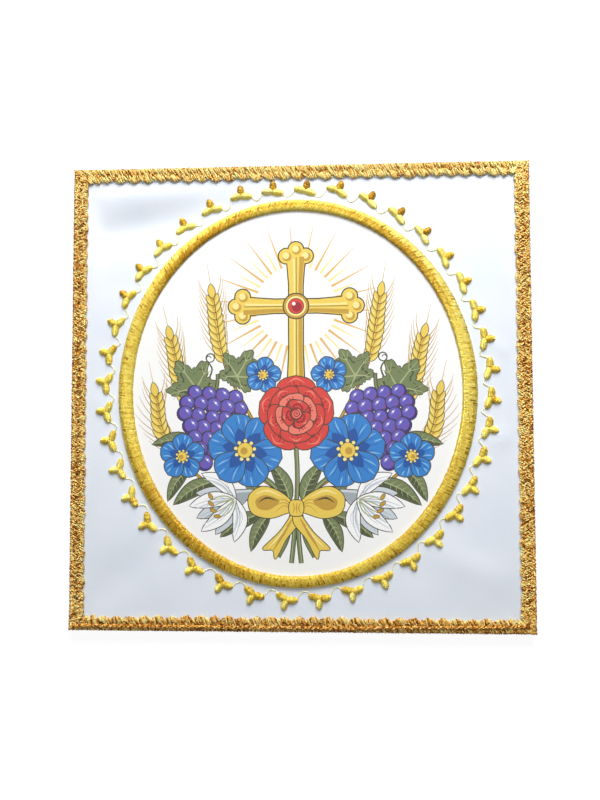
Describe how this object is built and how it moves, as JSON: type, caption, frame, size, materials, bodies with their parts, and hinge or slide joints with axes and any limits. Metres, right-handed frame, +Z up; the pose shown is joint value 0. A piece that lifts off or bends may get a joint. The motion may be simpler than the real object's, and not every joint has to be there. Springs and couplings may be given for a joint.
{
  "type": "chalice pall",
  "caption": "Stiff square chalice pall of white satin with a gold braid edge and a raised oval ring of gold satin stitch, wreathed in small trefoils, round a printed centre.",
  "frame": {"origin": "on the surface that the pall lies on, under the middle of its outline", "axes": "+Z up out of the worked face, +Y to the top of the pall as it is read, +X to its right"},
  "size_m": [0.158, 0.16, 0.0046],
  "materials": {
    "white_satin": "soft satin sheen",
    "gold_thread": "shiny metallic embroidery thread",
    "gold_braid": "sparkling metallic yarn"
  },
  "bodies": {
    "root": {"panel": "white_satin", "ring": "gold_thread", "trefoil_01": "gold_thread", "trefoil_02": "gold_thread", "trefoil_03": "gold_thread", "trefoil_04": "gold_thread", "trefoil_05": "gold_thread", "trefoil_06": "gold_thread", "trefoil_07": "gold_thread", "trefoil_08": "gold_thread", "trefoil_09": "gold_thread", "trefoil_10": "gold_thread", "trefoil_11": "gold_thread", "trefoil_12": "gold_thread", "trefoil_13": "gold_thread", "trefoil_14": "gold_thread", "trefoil_15": "gold_thread", "trefoil_16": "gold_thread", "trefoil_17": "gold_thread", "trefoil_18": "gold_thread", "trefoil_19": "gold_thread", "trefoil_20": "gold_thread", "trefoil_21": "gold_thread", "trefoil_22": "gold_thread", "trefoil_23": "gold_thread", "trefoil_24": "gold_thread", "trefoil_25": "gold_thread", "trefoil_26": "gold_thread", "trefoil_27": "gold_thread", "trefoil_28": "gold_thread", "trefoil_29": "gold_thread", "trefoil_30": "gold_thread", "trefoil_31": "gold_thread", "trefoil_32": "gold_thread", "trefoil_33": "gold_thread", "trefoil_34": "gold_thread", "trefoil_35": "gold_thread", "trefoil_36": "gold_thread", "trefoil_37": "gold_thread", "trefoil_38": "gold_thread", "trefoil_39": "gold_thread", "trefoil_40": "gold_thread", "braid_top": "gold_braid", "braid_right": "gold_braid", "braid_bottom": "gold_braid", "braid_left": "gold_braid"}
  },
  "joints": []
}
